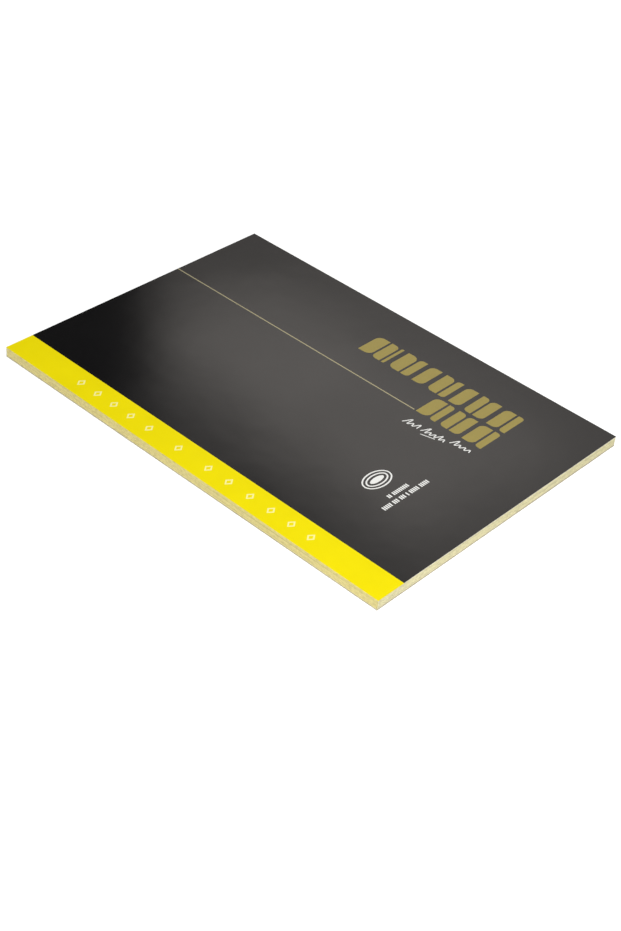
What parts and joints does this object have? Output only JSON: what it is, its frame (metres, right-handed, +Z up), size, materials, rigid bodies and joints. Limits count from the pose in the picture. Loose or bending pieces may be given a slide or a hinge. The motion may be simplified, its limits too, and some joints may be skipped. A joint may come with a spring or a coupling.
{
  "type": "writing pad",
  "caption": "Head-bound A4 writing pad: ruled sheets between a stiff backing board and a hinged black card cover with a yellow band.",
  "frame": {"origin": "the middle of the underside, on the surface that the pad lies on", "axes": "+Z up through the pad, +Y along its length towards the bound head edge, +X to the right as the cover is read"},
  "size_m": [0.21, 0.2976, 0.007],
  "materials": {
    "board": "raw",
    "paper": "uncoated",
    "glue": "satin",
    "cover": "satin"
  },
  "bodies": {
    "pad": {"backing_board": "board", "sheet_block": "paper", "head_binding": "glue"},
    "cover": {"front_cover": "cover"}
  },
  "joints": [
    {"name": "cover_hinge", "type": "hinge", "parent": "pad", "child": "cover", "pos_m": [0, 0.14847, 0.00683], "axis": [-1, 0, 0], "range_deg": [0, 180]}
  ]
}
